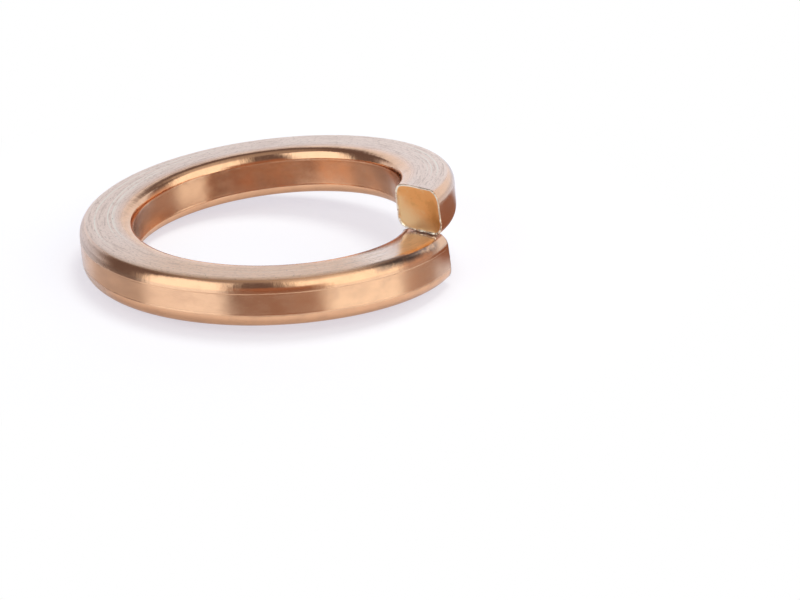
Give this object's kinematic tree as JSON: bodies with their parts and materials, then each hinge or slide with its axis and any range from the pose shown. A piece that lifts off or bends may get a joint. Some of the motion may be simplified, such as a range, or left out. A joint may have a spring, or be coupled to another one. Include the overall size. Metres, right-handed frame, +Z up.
{
  "type": "spring lock washer",
  "caption": "Split ring of rounded square bronze wire, coiled as a short helix so that its sheared ends bite under a screw head or nut.",
  "frame": {"origin": "on the axis of the bore, level with the lowest point of the coil", "axes": "+Z up along the axis of the bore, and the split lies near +X, turned a little towards -Y"},
  "size_m": [0.0172, 0.0172, 0.0046],
  "materials": {
    "bronze": "polished wire with fine lengthwise drawing marks, and matte sheared ends"
  },
  "bodies": {
    "root": {"lock_washer": "bronze"}
  },
  "joints": []
}
